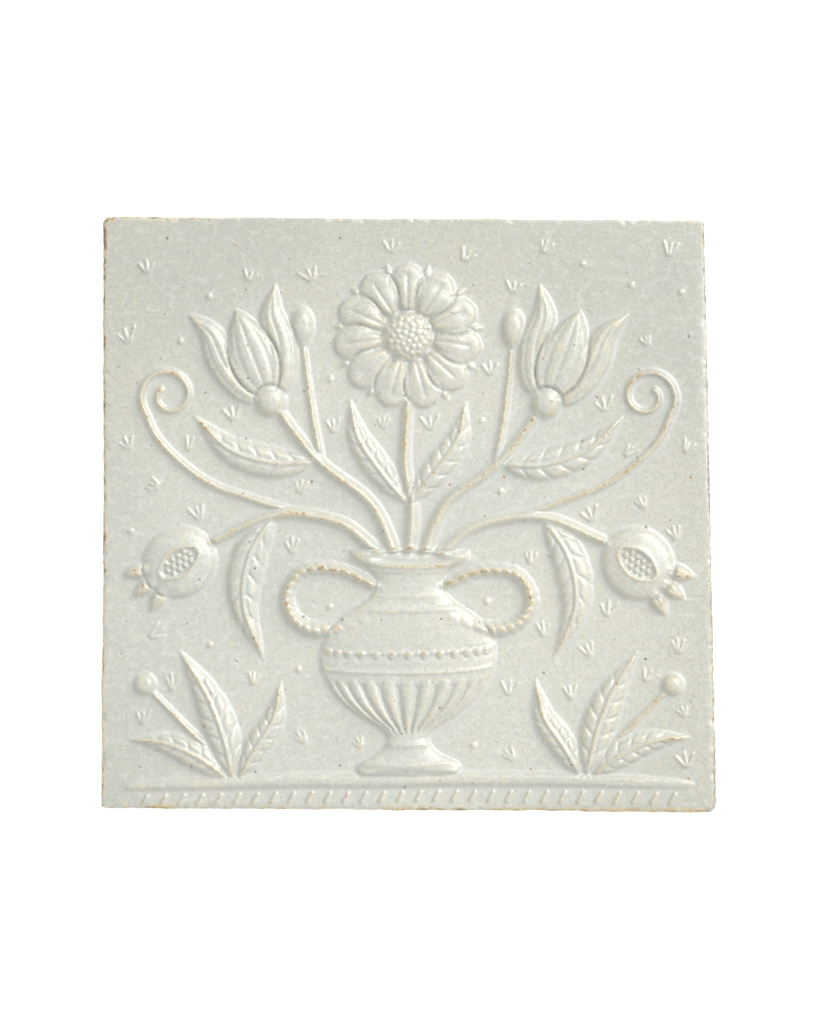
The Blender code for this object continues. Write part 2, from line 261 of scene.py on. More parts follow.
SPLIT_HALF_WIDTH = 3.0
SPLIT_DEPTH = 0.75
SPLIT_LIP = (0.4, 0.45)
SEED_PITCH = 1.75
SEED_SIZE = (0.78, 0.75, 0.1)

# A leaf has its spine, half-width and rise. They are drawn in this order.
LEAVES = {
    "inner": (((0.3, 3.0), (7.0, 11.0), (12.5, 19.0), (14.5, 28.0)), 3.6, 1.8),
    "outer": (((23.0, 13.0), (34.0, 12.5), (45.0, 16.0), (53.5, 24.0)), 4.3, 2.1),
    "hanging": (((34.0, -1.0), (40.0, -11.0), (41.5, -23.0), (36.5, -36.0)), 4.6, 2.1),
    "ground_outer": (((46.0, -65.5), (53.0, -60.5), (61.0, -57.0), (70.0, -56.0)), 3.5, 1.9),
    "ground_inner": (((43.0, -65.5), (38.5, -58.0), (34.0, -51.0), (32.0, -42.0)), 3.5, 1.9),
    "ground_middle": (((44.5, -65.5), (47.0, -55.0), (51.0, -45.0), (57.5, -34.5)), 4.4, 2.1),
}
BERRY_CENTRE = (66.5, -42.5)
BERRY_SIZE = (3.0, 2.0)
BUD_CENTRE = (26.3, 47.0)
BUD_RADII = (3.2, 5.4)
BUD_RISE = 2.1
GROUND_SPINE = ((-71.0, -67.8), (-30.0, -66.4), (30.0, -66.4), (71.0, -67.8))
GROUND_SIZE = (1.9, 1.3)
GROUND_STROKES = 30
GROUND_STROKE_REACH = 66.0
GROUND_STROKE_LEVEL = -70.4
GROUND_STROKE_SAG = 0.9
GROUND_STROKE = np.array((0.6, 1.1))
GROUND_STROKE_HALF_WIDTHS = (0.62, 0.5)
GROUND_STROKE_RISE = 0.70

# Small sprouts of three strokes and single dots, strewn over the bare field.
SPROUTS = 58
SPROUT_SEED = 31
SPROUT_TRIES = 4000
SPROUT_CLEARANCE = 3.4
SPROUT_SPACING = 10.5
SPROUT_LENGTH = 3.6
SPROUT_SCALES = (0.75, 1.20)
SPROUT_LEAN = 0.42
SPROUT_GAP = 0.9
SPROUT_STROKES = (0.65, 0.95)
SPROUT_FANS = ((-0.55, 0.0, 0.55), (-0.35, 0.0, 0.45), (-0.50, -0.05, 0.35))
SPROUT_HALF_WIDTHS = (0.52, 0.40)
SPROUT_RISES = (0.36, 0.60)
DOT_EVERY = 4
DOT_SIZE = (0.85, 0.5, 0.0)
BARE_HEIGHT = 0.15
BARE_STEP = 7
FIELD_HALF_SIZE = (75.5, 73.5)
FIELD_MARGIN = 5.5
STREWN_HALF_SIZE = (75.0, 72.0)

# Colours of the glaze and the clay.
PALE = (0.600, 0.600, 0.525, 1.0)
COOL = (0.555, 0.565, 0.500, 1.0)
WARM = (0.630, 0.615, 0.525, 1.0)
COOL_GRAIN = (0.545, 0.575, 0.545, 1.0)
WARM_GRAIN = (0.650, 0.615, 0.480, 1.0)
MILKY = (0.680, 0.682, 0.630, 1.0)
OLIVE_GREY = (0.500, 0.505, 0.430, 1.0)
POOLED = (0.600, 0.605, 0.570, 1.0)
FAR_DIMMING = (0.850, 0.852, 0.835, 1.0)
OCHRE = (0.680, 0.610, 0.430, 1.0)
AMBER = (0.560, 0.370, 0.120, 1.0)
TAN = (0.490, 0.400, 0.230, 1.0)
RUST = (0.420, 0.240, 0.080, 1.0)
KHAKI = (0.300, 0.265, 0.185, 1.0)
BURNT = (0.110, 0.085, 0.055, 1.0)
DARK_DOT = (0.190, 0.180, 0.140, 1.0)
# Blue-grey painted shade of the side wall, laid in dashes along the upper edge.
EDGE_SHADE_GREY = (0.470, 0.480, 0.500, 1.0)
PINHOLE = (0.200, 0.180, 0.125, 1.0)
CLAY = (0.520, 0.400, 0.270, 1.0)
CLAY_LIGHT = (0.600, 0.480, 0.345, 1.0)

# The face's colour is darkened more with distance from this place.
DIMMING_MIDDLE = (-0.010, -0.020, THICKNESS * MM)
GLAZE_IOR = 1.56

# Noises in the glaze: size in metres, detail and roughness.
GRAINS = {
    "broad": (0.045, 2.0, 0.5),
    "cloud": (0.011, 3.0, 0.5),
    "mottle": (0.0020, 3.0, 0.62),
    "speck": (0.0008, 2.0, 0.6),
    "tint": (0.0015, 3.0, 0.5),
    "dash": (0.0024, 2.0, 0.6),
    "ripple": (0.0032, 2.0, 0.5),
}

# Layers of the field's colour: the noise that places each, its values where the colour starts and where
# it is full, and the share of the colour there.
FIELD_LAYERS = (
    ("cloud", 0.30, 0.72, 0.70, PALE),
    ("tint", 0.50, 0.68, 0.50, WARM_GRAIN),
    ("tint", 0.50, 0.32, 0.50, COOL_GRAIN),
    ("mottle", 0.46, 0.70, 0.75, MILKY),
    ("speck", 0.54, 0.32, 0.74, OLIVE_GREY),
)
# Where the glaze is thin it turns tan and dull: the thinness at which that starts and is full, and the
# share of it there.
BARE_GLAZE = (0.72, 1.05, 0.75)
BOTTOM_TILT = 0.0065
GLAZE_LEVELS = (0.0046, 0.0040)
FACE_LEVELS = (0.0100, 0.0112)

# Pinholes, and the finer pricks: sizes of the cells that hold one each, in metres.
PINHOLE_PITCH = 0.0120
PRICK_PITCH = 0.0058

FLOOR_HALF_SIZE = 3.0
FLOOR_GLOW = 0.45
FLOOR_DROP = 0.0002

# Square lights aimed at the face: place and width in metres, and watts.
LIGHTS = {"key": ((1.08, 0.84, 1.10), 1.50, 27.3), "side": ((0.16, -0.28, 0.32), 0.35, 0.08)}
FILL = 0.74
WHITE = (1.0, 1.0, 1.0, 1.0)

# The photograph is 1024 pixels high, and one of its pixels is this many mm on the tile's face.
PICTURE_HEIGHT = 1024
PIXEL = 0.2506
LENS = 120.0
SENSOR = 24.0
CAMERA_FARTHEST = 20.0
CAMERA_AIM = (0.3, 0.7)


def noise(x, y, size, seed):
    """Smooth seeded noise, roughly -1 to 1, with features of the given size in mm."""
    count = int(2 * NOISE_REACH / size) + 5
    grid = np.random.default_rng(seed).uniform(-NOISE_SWING, NOISE_SWING, (count, count))
    across = (np.asarray(x) + NOISE_REACH) / size
    up = (np.asarray(y) + NOISE_REACH) / size
    column = np.floor(across).astype(int)
    row = np.floor(up).astype(int)

    def weights(f):
        return (
            (1 - f) ** 3 / 6,
            (3 * f**3 - 6 * f**2 + 4) / 6,
            (-3 * f**3 + 3 * f**2 + 3 * f + 1) / 6,
            f**3 / 6,
        )

    total = 0.0
    for i, column_weight in enumerate(weights(across - column)):
        for j, row_weight in enumerate(weights(up - row)):
            total = total + column_weight * row_weight * grid[row + j, column + i]
    return total


def waver(x, y, layers, seed=0):
    """Layers of noise added up, each with its height, its size and its seed, counted from the given one."""
    return sum(height * noise(x, y, size, seed + own_seed) for height, size, own_seed in layers)


def blurred(field, sigma):
    """A Gaussian blur of a lattice field. Sigma is in cells."""
    reach = int(math.ceil(3 * sigma))
    offsets = np.arange(-reach, reach + 1)
    kernel = np.exp(-0.5 * (offsets / sigma) ** 2)
    kernel /= kernel.sum()
    for axis in (0, 1):
        padding = [(reach, reach) if axis == k else (0, 0) for k in (0, 1)]
        padded = np.pad(field, padding, mode="edge")
        size = field.shape[axis]
        field = sum(w * np.take(padded, range(i, i + size), axis=axis) for i, w in enumerate(kernel))
    return field


def smooth_step(value):
    value = np.clip(value, 0.0, 1.0)
    return value * value * (3 - 2 * value)


def curve(points, count=CURVE_STEPS):
    """Points along a smooth curve through the given ones."""
    knots = np.array(points, dtype=float)
    knots = np.vstack((2 * knots[0] - knots[1], knots, 2 * knots[-1] - knots[-2]))
    spans = len(points) - 1
    line = []
    for share in np.linspace(0.0, 1.0, count + 1):
        span = min(int(share * spans), spans - 1)
        t = share * spans - span
        a, b, c, d = knots[span : span + 4]
        bend = (2 * a - 5 * b + 4 * c - d) * t**2 + (3 * b - a - 3 * c + d) * t**3
        line.append(b + ((c - a) * t + bend) / 2)
    return np.array(line)


def swell(share, lean, point):
    """From 0 at both ends to 1 at the share lean. A higher point makes sharper ends."""
    power = math.log(0.5) / math.log(lean)
    return np.clip(np.sin(math.pi * share**power), 0.0, None) ** point


def nearest(x, y, line):
    """For each point: its share of the line's length, and its distance, negative on the right."""
    best = np.full(x.shape, 1e9)
    share = np.zeros(x.shape)
    side = np.ones(x.shape)
    steps = len(line) - 1
    for index in range(steps):
        start = line[index]
        run = line[index + 1] - start
        along = np.clip(((x - start[0]) * run[0] + (y - start[1]) * run[1]) / (run @ run), 0.0, 1.0)
        off_x = x - start[0] - along * run[0]
        off_y = y - start[1] - along * run[1]
        distance = np.hypot(off_x, off_y)
        closer = distance < best
        best[closer] = distance[closer]
        share[closer] = ((index + along) / steps)[closer]
        side[closer] = np.where(run[0] * off_y - run[1] * off_x < 0, -1.0, 1.0)[closer]
    return share, best * side


def arch(across, power=2.2):
    """The section of a raised form, from 1 in the middle to 0 at its edge. A higher power is flatter."""
    return np.sqrt(np.clip(1 - np.abs(across) ** power, 0.0, None))


def bevelled(form, inset, slope=EDGE_SLOPE):
    """Cuts a form's sides down to a slope. inset is the distance in from its edge, and negative outside."""
    side = slope * inset
    gap = np.clip(BEVEL_BLEND - np.abs(form - side), 0.0, None)
    return np.minimum(form, side) - gap**2 / (4 * BEVEL_BLEND)


def line_mark(distance, width, height=1.0):
    """A soft mark along distance 0."""
    return height * np.exp(-((distance / width) ** 2))


class Relief:
    """The height of the relief over points of the face, built up form by form."""

    def __init__(self, x, y):
        self.x = x
        self.y = y
        self.height = np.zeros(x.shape)

    def near(self, low, high):
        """The points between two corners."""
        inside = (self.x > low[0]) & (self.x < high[0]) & (self.y > low[1]) & (self.y < high[1])
        return np.nonzero(inside)

    def join(self, where, form, outline=0.0, fillet=FILLET):
        """Takes the higher of the form and what is there, with a fillet and perhaps an incised outline."""
        below = self.height[where]
        if outline:
            below = below * (1 - outline * line_mark(form, OUTLINE_WIDTH))
        blend = np.clip(fillet - np.abs(form - below), 0.0, None) ** 2 / (4 * fillet)
        self.height[where] = np.maximum(form, below) + blend

    def along(self, line, reach):
        """The points near a line, with their shares of its length and their distances from it."""
        low = line.min(axis=0) - reach
        high = line.max(axis=0) + reach
        where = self.near(low, high)
        share, offset = nearest(self.x[where], self.y[where], line)
        return where, share, offset

    def tube(self, points, half_widths, rise, outline=0.0, twist=0.0, steps=CURVE_STEPS, fine=False):
        """A stem, rounded off at both ends. A twist cuts slanting grooves that many mm apart."""
        line = curve(points, steps)
        where, share, offset = self.along(line, max(half_widths) + FORM_MARGIN)
        half_width = half_widths[0] + (half_widths[1] - half_widths[0]) * share
        across = np.abs(offset) / half_width
        slope = FINE_SLOPE if fine else EDGE_SLOPE
        form = bevelled(rise * arch(across, TUBE_POWER), half_width * (1 - across), slope)
        if twist:
            length = np.hypot(*np.diff(line, axis=0).T).sum()
            turn = share * length / twist + TWIST_SLANT * offset / half_width
            form -= TWIST_DEPTH * (1 - np.abs(np.sin(math.pi * turn))) ** 2
        self.join(where, form, outline, FINE_FILLET if fine else FILLET)

    def stroke(self, points, half_widths, rise):
        """A short thin ridge with steep sides."""
        self.tube(points, half_widths, rise, steps=2, fine=True)

    def blade(self, points, half_width, rise, lean=0.42, point=0.85, outline=0.0, carve=None):
        """A leaf or petal. carve gives what is added, from the share of the length and places across."""
        where, share, offset = self.along(curve(points), half_width + FORM_MARGIN)
        width_here = np.maximum(half_width * swell(share, lean, point), BLADE_TIP)
        rise_here = rise * np.maximum(swell(share, 0.45, 0.4), 0.15)
        across = offset / width_here
        form = bevelled(rise_here * arch(across, BLADE_POWER), width_here * (1 - np.abs(across)))
        if carve:
            inside = np.abs(across) < 1
            form += np.where(inside, carve(share, np.clip(across, -1, 1), offset), 0.0)
        self.join(where, form, outline)

    def dome(self, centre, radii, rise, turn=0.0, outline=0.0, power=2.2):
        """A round or oval boss. turn leans its first radius away from x."""
        reach = max(radii) + FORM_MARGIN
        centre = np.array(centre)
        where = self.near(centre - reach, centre + reach)
        dx = self.x[where] - centre[0]
        dy = self.y[where] - centre[1]
        u = (dx * math.cos(turn) + dy * math.sin(turn)) / radii[0]
        v = (dy * math.cos(turn) - dx * math.sin(turn)) / radii[1]
        across = np.hypot(u, v)
        form = rise * arch(across, power)
        self.join(where, bevelled(form, min(radii) * (1 - across)), outline)

    def bead(self, centre, radius, rise, ring=0.2):
        """A bead pressed on to whatever is there, in a shallow ring."""
        reach = 2 * radius
        centre = np.array(centre)
        where = self.near(centre - reach, centre + reach)
        across = np.hypot(self.x[where] - centre[0], self.y[where] - centre[1]) / radius
        self.height[where] += rise * np.clip(1 - across**2, 0.0, None) ** BEAD_POWER
        self.height[where] -= line_mark(across - BEAD_RING_PLACE, BEAD_RING_WIDTH, ring)


def leaf_carving(share, across, offset):
    """A raised midrib and slanting side veins."""
    fade = smooth_step(share * 8) * smooth_step((1 - share) * 5)
    midrib = line_mark(offset, *MIDRIB) - line_mark(np.abs(offset) - MIDRIB_GROOVE_PLACE, *MIDRIB_GROOVE)
    vein = np.abs((share * VEINS - np.abs(across) * VEIN_SLANT) % 1.0 - 0.5)
    veins = line_mark(vein - 0.5, *VEIN) * smooth_step(np.abs(across) * 4 - 0.5)
    return fade * (midrib - veins)


def petal_carving(share, across, offset):
    """Fine grooves that run the length of a tulip's petal."""
    fade = smooth_step(share * 5) * smooth_step((1 - share) * 4)
    return -fade * sum(line_mark(across - place, *PETAL_GROOVE) for place in PETAL_GROOVES)


def rose_petal_carving(share, across, offset):
    """One groove up the middle, and a cupped tip."""
    fade = smooth_step(share * 6) * smooth_step((ROSE_GROOVE_END - share) * 6)
    cup = line_mark(share - ROSE_CUP_PLACE, *ROSE_CUP) * (1 - across**2)
    return -fade * line_mark(offset, *ROSE_GROOVE) - cup


def crown_carving(share, across, offset):
    """One groove up the middle of a fruit's crown leaf."""
    return -line_mark(offset, *CROWN_GROOVE)


def mirrored(points):
    return [(-x, y) for x, y in points]


def curl_spine():
    """The tendril's start and then a closing spiral."""
    shares = np.linspace(0.0, 1.0, CURL_KNOTS + 1)
    radius = CURL_RADII[0] + (CURL_RADII[1] - CURL_RADII[0]) * shares
    angle = CURL_ANGLES[0] + (CURL_ANGLES[1] - CURL_ANGLES[0]) * shares
    x = CURL_CENTRE[0] + radius * np.cos(angle)
    y = CURL_CENTRE[1] + radius * np.sin(angle)
    return [*TENDRIL_START, *zip(x, y)]


def tulip_point(across, share):
    axis = np.array((math.sin(TULIP_LEAN), math.cos(TULIP_LEAN)))
    off = np.array((axis[1], -axis[0]))
    return tuple(np.array(TULIP_BASE) + axis * share * TULIP_LENGTH + off * across)


def vase_flutes(turn_share, level, round_off):
    """Upright flutes with arched tops, as height to add. turn_share is the place across, from -1 to 1."""
    angle = np.arcsin(np.clip(turn_share, -1, 1))
    flute = np.abs((angle / math.pi * FLUTES) % 1.0 - 0.5)
    arch_top = FLUTE_TOP + FLUTE_ARCH * np.sqrt(np.clip(1 - (2 * (0.5 - flute)) ** 2, 0.0, 1.0))
    foot_fade, top_fade = FLUTE_FADES
    inside = smooth_step((level - FLUTE_FOOT) / foot_fade) * smooth_step((arch_top - level) / top_fade)
    groove = line_mark(flute, *FLUTE_GROOVE) * round_off**0.3
    swelling = FLUTE_SWELL * np.cos(math.pi * (0.5 - flute) * 1.6) * round_off
    return inside * (swelling - groove)


def raise_vase(relief):
    """The vase, with its turned mouldings, fluting and beads, drawn as if seen a little from above."""
    profile = curve(VASE_PROFILE, VASE_STEPS)
    foot, lip = VASE_PROFILE[0][0], VASE_PROFILE[-1][0]
    where = relief.near((-VASE_REACH, foot - FORM_MARGIN), (VASE_REACH, lip + 2 * FORM_MARGIN))
    x = relief.x[where]
    y = relief.y[where]
    half_width = np.interp(y, profile[:, 0], profile[:, 1])
    across = np.abs(x) / half_width
    round_off = arch(across, 2.0)
    rise = VASE_NARROW_RISE + (VASE_RISE - VASE_NARROW_RISE) * half_width / profile[:, 1].max()
    inset = np.minimum(half_width * (1 - across), np.minimum(y - foot, lip - y))
    form = bevelled(rise * arch(across, BLADE_POWER), inset)
    level = y + VASE_SAG * half_width * round_off
    for band_level, band_width, band_rise in VASE_BANDS:
        form += line_mark(level - band_level, band_width, band_rise) * round_off**0.5
    form += vase_flutes(x / half_width, level, round_off)
    relief.join(where, form, outline=0.6)
    bead_radius, bead_rise = VASE_BEAD_SIZE
    bead_circle = np.interp(VASE_BEAD_LEVEL, profile[:, 0], profile[:, 1])
    for angle in np.linspace(-VASE_BEAD_SWEEP, VASE_BEAD_SWEEP, VASE_BEADS):
        place = (bead_circle * math.sin(angle), VASE_BEAD_LEVEL - VASE_SAG * bead_circle * math.cos(angle))
        relief.bead(place, bead_radius, bead_rise * math.cos(angle) ** 0.4)


def raise_mouth(relief):
    """The open mouth of the vase: a rim round a hollow, which the stems rise from."""
    where = relief.near(*MOUTH_ZONE)
    across = np.hypot(relief.x[where] / MOUTH_RADII[0], (relief.y[where] - MOUTH_Y) / MOUTH_RADII[1])
    rim = line_mark((across - MOUTH_RIM_PLACE) * MOUTH_RADII[1], *MOUTH_RIM)
    hollow = MOUTH_HOLLOW_DEPTH * smooth_step((MOUTH_HOLLOW_PLACE - across) * 4)
    relief.height[where] += rim - hollow


def raise_rose(relief):
    """A rose seen from the front, with points between its petals and seeds in its eye."""
    centre = np.array(ROSE_CENTRE)
    angles = 2 * math.pi * np.arange(ROSE_PETALS) / ROSE_PETALS
    outs = [np.array((-math.sin(angle), math.cos(angle))) for angle in angles]
    for out, after in zip(outs, outs[1:] + outs[:1]):
        middle = (out + after) / np.hypot(*(out + after))
        relief.blade([centre + middle * reach for reach in ROSE_POINT_REACH], *ROSE_POINT_SIZE, lean=0.5)
    for out in outs:
        spine = [centre + out * reach for reach in ROSE_PETAL_REACH]
        relief.blade(spine, *ROSE_PETAL_SIZE, lean=0.62, point=0.5, outline=0.7, carve=rose_petal_carving)
    eye_radius, eye_rise = EYE_SIZE
    relief.dome(ROSE_CENTRE, (eye_radius, eye_radius), eye_rise, outline=0.6)
    for index in range(EYE_SEEDS):
        radius = EYE_SEED_REACH * math.sqrt((index + 0.5) / EYE_SEEDS)
        angle = index * GOLDEN_ANGLE
        relief.bead(centre + radius * np.array((math.cos(angle), math.sin(angle))), *EYE_SEED_SIZE)


def raise_tulip(relief, place):
    near = [tulip_point(-across, share) for across, share in TULIP_SIDE_SPINE]
    far = [tulip_point(across, share) for across, share in TULIP_SIDE_SPINE]
    for spine in (near, far):
        relief.blade(place(spine), *TULIP_SIDE_SIZE, point=0.7, outline=0.5, carve=petal_carving)
    front = [tulip_point(0.0, share) for share in TULIP_FRONT_SHARES]
    relief.blade(place(front), *TULIP_FRONT_SIZE, point=0.7, outline=0.8, carve=petal_carving)
    cup_radius, cup_rise = TULIP_CUP_SIZE
    relief.dome(place([TULIP_BASE])[0], (cup_radius, cup_radius), cup_rise, outline=0.7)


def raise_fruit(relief, place):
    centre = np.array(FRUIT_CENTRE)
    for index in (-1, 1, 0):
        angle = FRUIT_LEAN + index * CROWN_SPREAD
        out = np.array((math.cos(angle), math.sin(angle)))
        spine = place([tuple(centre + out * reach) for reach in CROWN_REACH])
        relief.blade(spine, *CROWN_SIZE, lean=0.45, outline=0.5, carve=crown_carving)
    middle = place([FRUIT_CENTRE])[0]
    turn = FRUIT_LEAN if middle[0] > 0 else math.pi - FRUIT_LEAN
    relief.dome(middle, FRUIT_RADII, FRUIT_RISE, turn=turn, outline=0.7, power=2.4)
    open_fruit(relief, middle, turn)


def open_fruit(relief, middle, turn):
    """The split in the fruit's skin, with seeds showing in it."""
    middle = np.array(middle)
    axis = np.array((math.cos(turn), math.sin(turn)))
    across_axis = np.array((-axis[1], axis[0]))
    where = relief.near(middle - 9.0, middle + 9.0)
    dx = relief.x[where] - middle[0]
    dy = relief.y[where] - middle[1]
    u = (dx * axis[0] + dy * axis[1]) / SPLIT_HALF_LENGTH
    v = (dx * across_axis[0] + dy * across_axis[1]) / SPLIT_HALF_WIDTH
    edge = np.abs(v) - (1 - u**2)
    edge = np.where(np.abs(u) > 1, 1.0, edge) * SPLIT_HALF_WIDTH
    lip = line_mark(edge - SPLIT_LIP[0], *SPLIT_LIP) * (np.abs(u) < 1)
    relief.height[where] += lip - SPLIT_DEPTH * smooth_step(-edge / 0.6)
    for row in (-1, 0, 1):
        for column in range(-3, 4):
            along = (column + 0.5 * (row % 2)) * SEED_PITCH
            off = row * SEED_PITCH * 0.85
            if abs(off) < 0.8 * SPLIT_HALF_WIDTH * (1 - (along / SPLIT_HALF_LENGTH) ** 2):
                relief.bead(middle + axis * along + across_axis * off, *SEED_SIZE)


def raise_side(relief, place):
    """Everything drawn for the right side. place turns its points into this side's."""
    relief.tube(place(curl_spine()), THIN_STEM_HALF_WIDTHS, TENDRIL_RISE, steps=CURL_STEPS)
    for stem in (BUD_STEM, BERRY_STEM):
        relief.tube(place(stem), THIN_STEM_HALF_WIDTHS, THIN_STEM_RISE)
    for spine, half_width, rise in LEAVES.values():
        relief.blade(place(spine), half_width, rise, outline=0.6, carve=leaf_carving)
    for stem in (LOWER_STEM, UPPER_STEM):
        relief.tube(place(stem), STEM_HALF_WIDTHS, STEM_RISE, outline=0.5)
    relief.tube(place(HANDLE_SPINE), HANDLE_HALF_WIDTHS, HANDLE_RISE, twist=HANDLE_TWIST)
    berry_radius, berry_rise = BERRY_SIZE
    relief.dome(place([BERRY_CENTRE])[0], (berry_radius, berry_radius), berry_rise, outline=0.5)
    relief.dome(place([BUD_CENTRE])[0], BUD_RADII, BUD_RISE, outline=0.5)
    raise_tulip(relief, place)
    raise_fruit(relief, place)


def raise_ground(relief):
    """The ground line, with a row of slanting strokes below it."""
    relief.blade(GROUND_SPINE, *GROUND_SIZE, lean=0.5, point=0.25)
    for share in np.linspace(-1.0, 1.0, GROUND_STROKES):
        middle = np.array((share * GROUND_STROKE_REACH, GROUND_STROKE_LEVEL - GROUND_STROKE_SAG * share**2))
        ends = (middle - GROUND_STROKE, middle + GROUND_STROKE)
        relief.stroke(ends, GROUND_STROKE_HALF_WIDTHS, GROUND_STROKE_RISE)


def bare_places(relief, chance):
    """Random places on the bare field, clear of the relief, the edge and one another."""
    raised = relief.height > BARE_HEIGHT
    raised_x = relief.x[raised][::BARE_STEP]
    raised_y = relief.y[raised][::BARE_STEP]
    placed = []
    for _ in range(SPROUT_TRIES):
        x = chance.uniform(-STREWN_HALF_SIZE[0], STREWN_HALF_SIZE[0])
        y = chance.uniform(-STREWN_HALF_SIZE[1], STREWN_HALF_SIZE[1])
        margin = min(FIELD_HALF_SIZE[0] - abs(x), FIELD_HALF_SIZE[1] - abs(y))
        clear = np.hypot(raised_x - x, raised_y - y).min()
        apart = min((math.hypot(x - px, y - py) for px, py in placed), default=math.inf)
        if margin >= FIELD_MARGIN and clear >= SPROUT_CLEARANCE and apart >= SPROUT_SPACING:
            placed.append((x, y))
        if len(placed) == SPROUTS:
            break
    return placed


def strew_field(relief):
    """Sprouts and dots wherever the field is bare."""
    chance = np.random.default_rng(SPROUT_SEED)
    for index, place in enumerate(bare_places(relief, chance)):
        if index % DOT_EVERY == DOT_EVERY - 1:
            relief.bead(place, *DOT_SIZE)
            continue
        lean = chance.normal(0.0, SPROUT_LEAN)
        size = SPROUT_LENGTH * chance.uniform(*SPROUT_SCALES)
        for fan in chance.choice(SPROUT_FANS):
            out = np.array((math.sin(lean + fan), math.cos(lean + fan)))
            root = np.array(place) + out * SPROUT_GAP - np.array((0.0, size / 2))
            tip = root + out * size * chance.uniform(*SPROUT_STROKES)
            relief.stroke((root, tip), SPROUT_HALF_WIDTHS, chance.uniform(*SPROUT_RISES))


def relief_height(x, y):
    """Height of the face above the slab's plane, in mm."""
    drift_x = DRIFT * noise(x, y, DRIFT_SIZE, 11)
    drift_y = DRIFT * noise(x, y, DRIFT_SIZE, 12)
    relief = Relief(x + drift_x, y + drift_y)
    raise_ground(relief)
    relief.tube(CENTRE_STEM, STEM_HALF_WIDTHS, STEM_RISE)
    raise_side(relief, list)
    raise_side(relief, mirrored)
    raise_vase(relief)
    raise_mouth(relief)
    raise_rose(relief)
    strew_field(relief)
    return relief.height + waver(x, y, FACE_WAVER)


def rolled(length, near_radius, far_radius):
    """Lattice places along one side, spaced evenly over the face and round both arrises."""
    near_arc = math.pi / 2 * near_radius
    far_arc = math.pi / 2 * far_radius
    straight = length - near_radius - far_radius
    run = np.linspace(0.0, near_arc + straight + far_arc, CELLS + 1)
    near = near_radius * (1 - np.cos(np.clip(run / near_radius, 0.0, math.pi / 2)))
    flat = np.clip(run - near_arc, 0.0, straight)
    left = np.clip(run - near_arc - straight, 0.0, far_arc)
    far = far_radius * np.sin(left / far_radius)
    return near + flat + far


def face_lattice():
    """Plan places of the lattice, and each one's distance from the slab's outline."""
    across = rolled(FACE_WIDTH, ARRIS, RIGHT_ARRIS)
    up = rolled(FACE_HEIGHT, ARRIS, ARRIS)
    left, bottom = np.meshgrid(across, up)
    right = FACE_WIDTH - left
    top = FACE_HEIGHT - bottom
    distance = np.minimum(np.minimum(left, right), np.minimum(bottom, top))
    for name, x_inset, y_inset, x_sign, y_sign in (
        ("top_left", left, top, 1, -1),
        ("bottom_left", left, bottom, 1, 1),
        ("bottom_right", right, bottom, -1, 1),
        ("top_right", right, top, -1, -1),
    ):
        radius = CORNER_RADII[name]
        zone = (x_inset < radius) & (y_inset < radius)
        u = (radius - x_inset[zone]) / radius
        v = (radius - y_inset[zone]) / radius
        round_u = u * np.sqrt(1 - v**2 / 2)
        round_v = v * np.sqrt(1 - u**2 / 2)
        distance[zone] = radius * (1 - np.hypot(round_u, round_v))
        left[zone] += x_sign * radius * (u - round_u)
        bottom[zone] += y_sign * radius * (v - round_v)
    return left, bottom, np.clip(distance, 0.0, None)


def to_slab(left, bottom):
    """From distances along the sides to places on the slab, whose sides aren't quite square."""
    top_left, bottom_left, bottom_right, top_right = (np.array(c) for c in SLAB_CORNERS)
    u = (left / FACE_WIDTH)[..., None]
    v = (bottom / FACE_HEIGHT)[..., None]
    low = (1 - u) * bottom_left + u * bottom_right
    high = (1 - u) * top_left + u * top_right
    place = (1 - v) * low + v * high
    return place[..., 0], place[..., 1]


def cut_edges(left, bottom):
    """Draws the sides in by a little, unevenly, as a hand-cut edge is."""
    new_left = left.copy()
    new_bottom = bottom.copy()
    for inset, run, sign, moved, bow, seed in (
        (left, bottom, 1, new_left, LEFT_BOW, 41),
        (FACE_WIDTH - left, bottom, -1, new_left, 0.0, 42),
        (bottom, left, 1, new_bottom, 0.0, 43),
        (FACE_HEIGHT - bottom, left, -1, new_bottom, 0.0, 44),
    ):
        run = run - FACE_WIDTH / 2
        draw_in = CUT_INSET + waver(run, 0 * run, CUT_WAVER, seed) + bow * line_mark(run, BOW_LENGTH)
        moved += sign * np.clip(draw_in, 0.0, None) * smooth_step(1 - inset / CUT_FADE)
    return new_left, new_bottom


def chip_arris(x, y, distance):
    """Small bites out of the upper edge, in mm of depth."""
    chance = np.random.default_rng(CHIP_SEED)
    depth = np.zeros(x.shape)
    edge = np.nonzero(distance < CHIP_ZONE)
    for _ in range(CHIPS):
        pick = chance.integers(len(edge[0]))
        row, column = edge[0][pick], edge[1][pick]
        radius = chance.uniform(*CHIP_RADII)
        spread = np.hypot(x - x[row, column], y - y[row, column]) / radius
        depth += chance.uniform(*CHIP_DEPTHS) * np.exp(-(spread**2))
    return depth


def edge_wear_and_shade(x, y, left, bottom, distance):
    """How thin the glaze is on the upper edge, from 0 away from it to about 1 where it shows the clay. The
    same mask places the painted shade along the edge.
    """
    across = left / FACE_WIDTH
    up = bottom / FACE_HEIGHT
    total = 0.0
    nearness = 0.0
    for name, inset, place in (
        ("left", left, up),
        ("right", FACE_WIDTH - left, up),
        ("bottom", bottom, across),
        ("top", FACE_HEIGHT - bottom, across),
    ):
        near = np.exp(-inset / SIDE_WEAR_REACH)
        start, change = SIDE_WEAR_AND_SHADE[name]
        total = total + near * (start + change * place)
        nearness = nearness + near
    wear_and_shade = total / nearness + waver(x, y, WEAR_WAVER)
    off = np.hypot(x - WORN_CORNER[0], (y - WORN_CORNER[1]) / WORN_CORNER_STRETCH)
    worn_corner = line_mark(off, WORN_CORNER_REACH)
    width = WEAR_WIDTH + WORN_CORNER_WIDENING * worn_corner
    edge = line_mark(distance, width, 1.0 - WORN_CORNER_FADING * worn_corner)
    return wear_and_shade * (edge + line_mark(distance, *WEAR_FRINGE))


